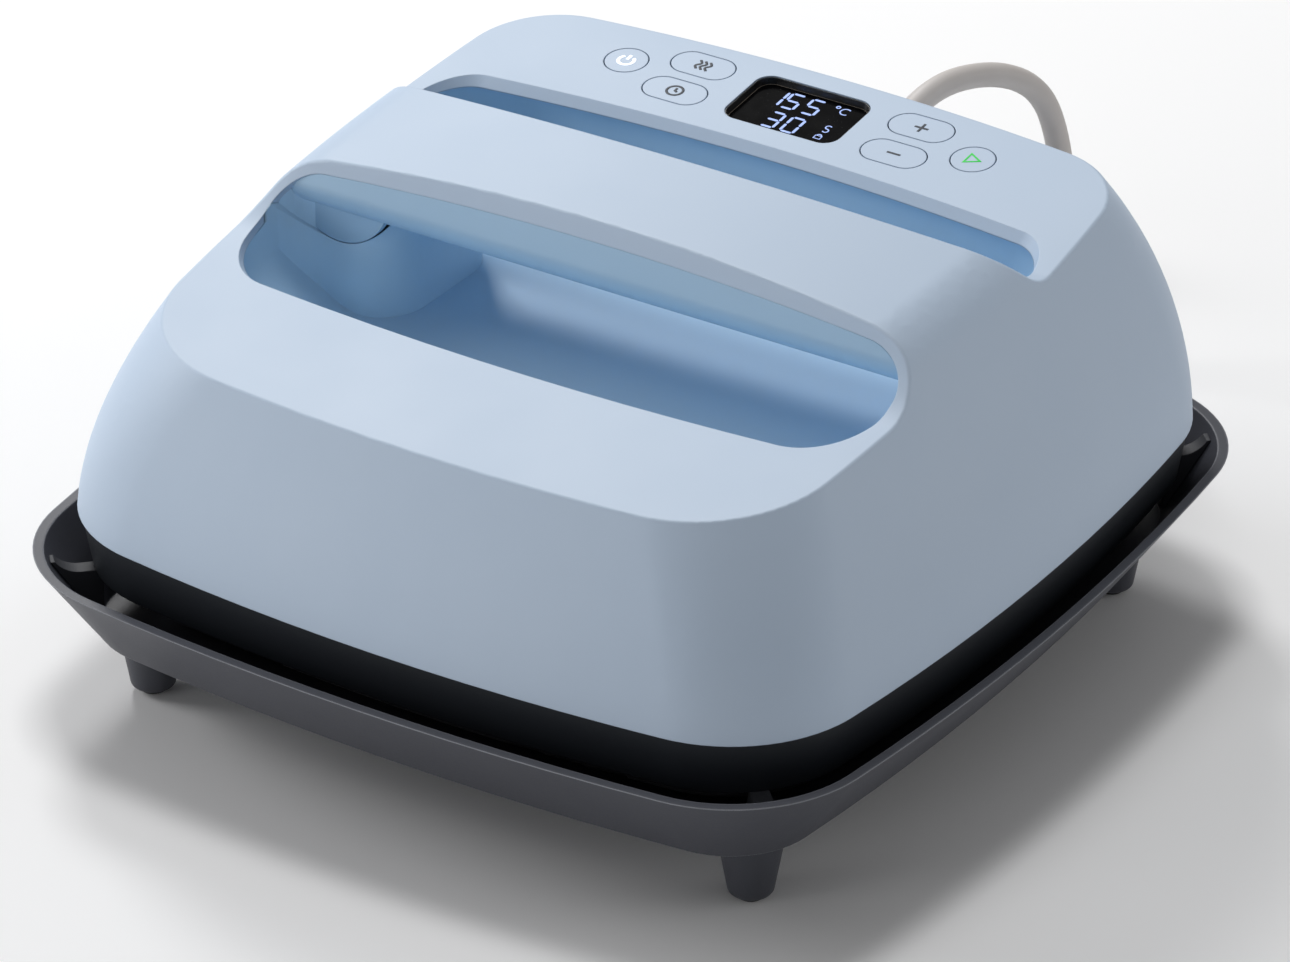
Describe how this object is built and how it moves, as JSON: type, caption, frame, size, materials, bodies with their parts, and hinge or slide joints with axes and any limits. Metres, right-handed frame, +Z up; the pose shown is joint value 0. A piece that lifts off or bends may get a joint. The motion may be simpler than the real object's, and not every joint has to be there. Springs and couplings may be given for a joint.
{
  "type": "handheld heat press",
  "caption": "Square handheld heat press with a bridge handle, control keys and display, resting on a dark safety base, with its mains cord coiled behind.",
  "frame": {"origin": "centre of the safety base's footprint on the floor", "axes": "+X to the user's right, +Y from the front to the control panel at the rear, +Z up"},
  "size_m": [0.2826, 0.3886, 0.14],
  "materials": {
    "shell_blue": "fine satin, pale blue",
    "key_blue": "fine satin, pale blue, printed mark",
    "liner_blue": "fine satin, deeper blue",
    "band_black": "matt black heat-proof plastic",
    "tray_grey": "fine grained dark grey",
    "plate_metal": "coated smooth plate",
    "shield_metal": "plain sheet",
    "steel": "plain",
    "insulation": "white fibre",
    "inner_plastic": "plain moulded",
    "board_green": "circuit board",
    "display_black": "gloss black",
    "lead_red": "silicone sleeve",
    "cord_grey": "matt warm grey",
    "pad_rubber": "matt",
    "rest_rubber": "matt silicone",
    "tie_black": "matt strap",
    "pin_brass": "plain"
  },
  "bodies": {
    "safety_base": {"base_tray": "tray_grey", "foot_pads": "pad_rubber", "corner_rests": "rest_rubber", "cord_coil": "cord_grey", "cord_tie": "tie_black", "plug_body": "cord_grey", "plug_pins": "pin_brass"},
    "press": {"upper_shell": "shell_blue", "handle_liner": "liner_blue", "handle_underside": "liner_blue", "handle_screws": "steel", "lower_band": "band_black", "heat_plate": "plate_metal", "heating_element": "steel", "element_bars": "steel", "insulation_blanket": "insulation", "heat_shield": "shield_metal", "chassis_plate": "inner_plastic", "plate_spacers": "steel", "plate_screws": "steel", "shell_screws": "steel", "control_board": "board_green", "board_screws": "steel", "key_switches": "inner_plastic", "display_bezel": "display_black", "display_window": "display_black", "display_module": "inner_plastic", "buzzer": "inner_plastic", "power_board": "board_green", "relay": "inner_plastic", "capacitor": "inner_plastic", "supply_module": "inner_plastic", "terminal_block": "inner_plastic", "ribbon_cable": "cord_grey", "heater_leads": "lead_red", "temperature_sensor": "steel", "thermal_fuse": "steel", "strain_relief": "cord_grey", "cord_collar": "inner_plastic", "cord_inner": "cord_grey", "cord_lead": "cord_grey"},
    "power_button": {"power_key": "key_blue"},
    "temperature_button": {"temperature_key": "key_blue"},
    "timer_button": {"timer_key": "key_blue"},
    "plus_button": {"plus_key": "key_blue"},
    "minus_button": {"minus_key": "key_blue"},
    "start_button": {"start_key": "key_blue"}
  },
  "joints": [
    {"name": "press_lift", "type": "slide", "parent": "safety_base", "child": "press", "axis": [0, 0, 1], "range_m": [0, 0.08]},
    {"name": "power_press", "type": "slide", "parent": "press", "child": "power_button", "axis": [0, 0.1085, -0.9941], "range_m": [0, 0.0006], "stiffness_N_per_m": 2000},
    {"name": "temperature_press", "type": "slide", "parent": "press", "child": "temperature_button", "axis": [0, 0.1085, -0.9941], "range_m": [0, 0.0006], "stiffness_N_per_m": 2000},
    {"name": "timer_press", "type": "slide", "parent": "press", "child": "timer_button", "axis": [0, 0.1085, -0.9941], "range_m": [0, 0.0006], "stiffness_N_per_m": 2000},
    {"name": "plus_press", "type": "slide", "parent": "press", "child": "plus_button", "axis": [0, 0.1085, -0.9941], "range_m": [0, 0.0006], "stiffness_N_per_m": 2000},
    {"name": "minus_press", "type": "slide", "parent": "press", "child": "minus_button", "axis": [0, 0.1085, -0.9941], "range_m": [0, 0.0006], "stiffness_N_per_m": 2000},
    {"name": "start_press", "type": "slide", "parent": "press", "child": "start_button", "axis": [0, 0.1085, -0.9941], "range_m": [0, 0.0006], "stiffness_N_per_m": 2000}
  ]
}
